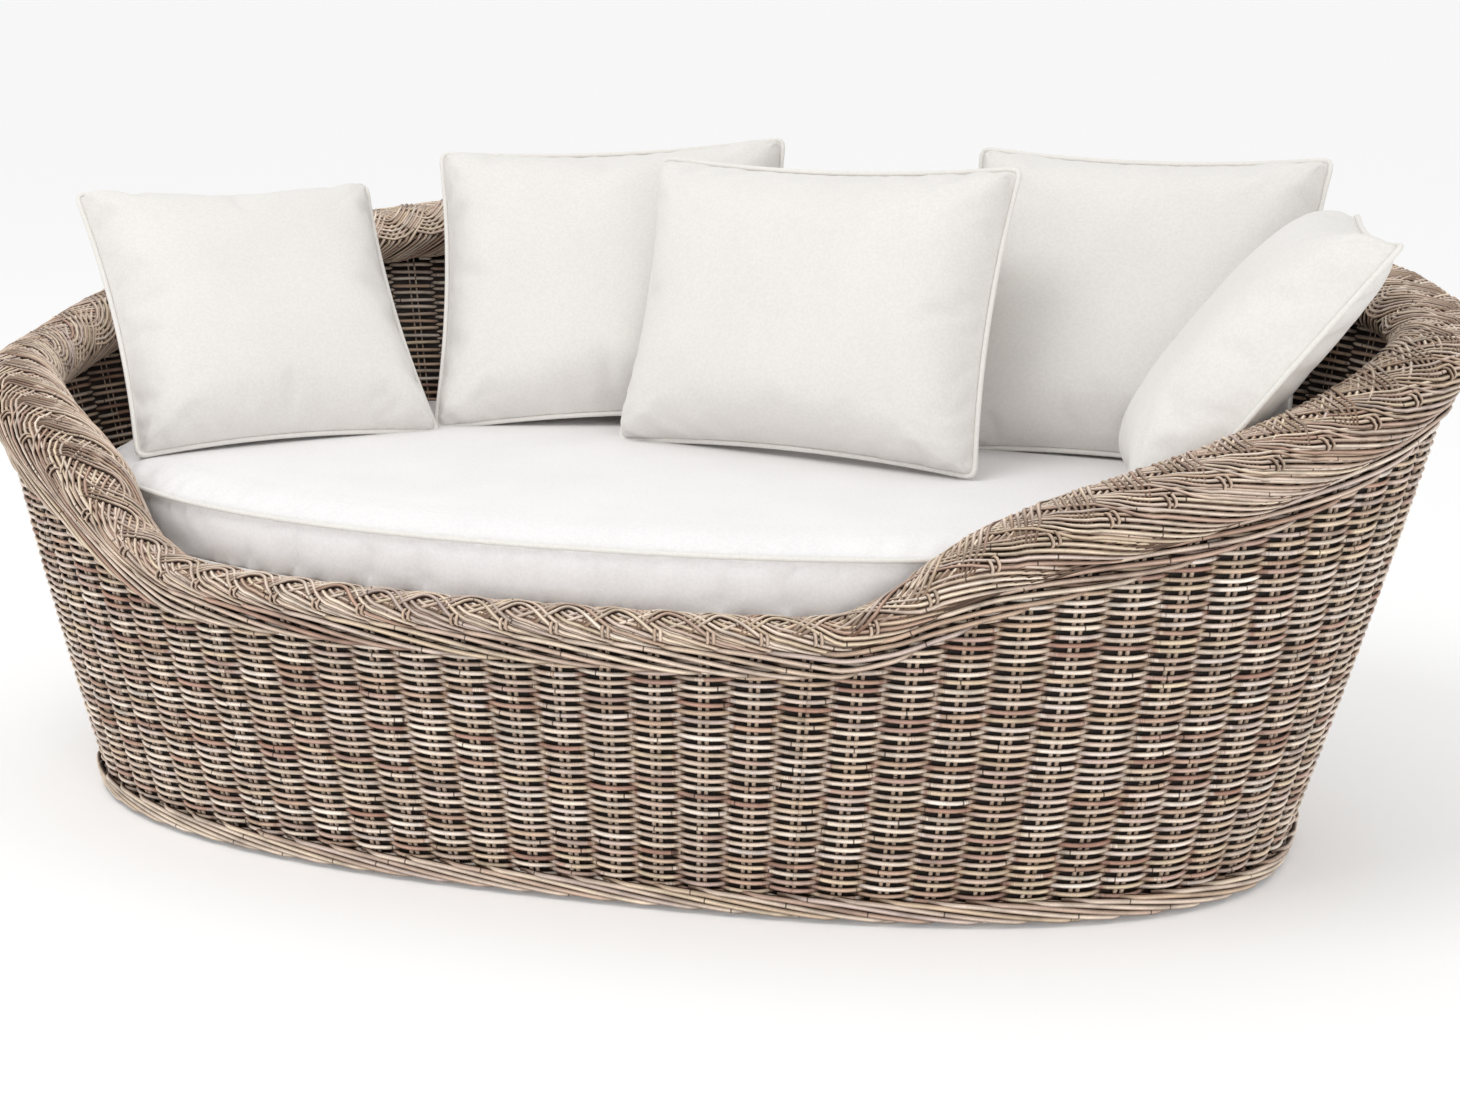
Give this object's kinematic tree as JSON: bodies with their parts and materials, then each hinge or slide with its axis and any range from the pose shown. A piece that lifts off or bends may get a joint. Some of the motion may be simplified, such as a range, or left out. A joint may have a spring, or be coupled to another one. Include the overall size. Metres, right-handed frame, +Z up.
{
  "type": "rattan garden daybed",
  "caption": "Oval woven rattan garden daybed with a low scooped front, rolled rim, off-white seat cushion and loose pillows.",
  "frame": {"origin": "on the floor under the middle leg, at the centre of the oval base", "axes": "+X along the length to the viewer's right, -Y out of the open front, +Z up"},
  "size_m": [2.0472, 1.1191, 0.8814],
  "materials": {
    "weave": "plain-woven peeled rattan, greyish brown, matt",
    "braid": "braided and rolled rattan strands, greyish brown, matt",
    "pole": "bent rattan pole, matt",
    "timber": "planed softwood, matt",
    "glide": "dark plastic",
    "canvas": "off-white plain-weave canvas",
    "piping": "off-white corded piping"
  },
  "bodies": {
    "shell": {"woven_wall_front": "weave", "woven_wall_right": "weave", "woven_wall_back": "weave", "woven_wall_left": "weave", "rolled_rim_front": "braid", "rolled_rim_right": "braid", "rolled_rim_back": "braid", "rolled_rim_left": "braid", "waling_band_front": "braid", "waling_band_right": "braid", "waling_band_back": "braid", "waling_band_left": "braid", "foot_border_front": "braid", "foot_border_right": "braid", "foot_border_back": "braid", "foot_border_left": "braid", "seat_hoop_front": "pole", "seat_hoop_back": "pole", "base_hoop_front": "pole", "base_hoop_back": "pole", "upright_posts": "pole", "centre_rail": "timber", "floor_stretchers": "timber", "middle_legs": "timber", "deck_slats": "timber", "floor_glides": "glide"},
    "seat": {"seat_cushion": "canvas", "seat_piping_bottom": "piping", "seat_piping_top": "piping"},
    "back_pillows": {"back_left_pillow": "canvas", "back_left_pillow_piping": "piping", "back_right_pillow": "canvas", "back_right_pillow_piping": "piping"},
    "centre_pillow_body": {"centre_pillow": "canvas", "centre_pillow_piping": "piping"},
    "left_pillow_body": {"left_pillow": "canvas", "left_pillow_piping": "piping"},
    "right_pillow_body": {"right_pillow": "canvas", "right_pillow_piping": "piping"}
  },
  "joints": [
    {"name": "seat_lift", "type": "slide", "parent": "shell", "child": "seat", "axis": [0, 0, 1], "range_m": [0, 0.45]},
    {"name": "back_pillows_lift", "type": "slide", "parent": "seat", "child": "back_pillows", "axis": [0, 0, 1], "range_m": [0, 0.45]},
    {"name": "centre_pillow_lift", "type": "slide", "parent": "back_pillows", "child": "centre_pillow_body", "axis": [0, 0, 1], "range_m": [0, 0.45]},
    {"name": "left_pillow_lift", "type": "slide", "parent": "seat", "child": "left_pillow_body", "axis": [0, 0, 1], "range_m": [0, 0.45]},
    {"name": "right_pillow_lift", "type": "slide", "parent": "seat", "child": "right_pillow_body", "axis": [0, 0, 1], "range_m": [0, 0.45]}
  ]
}
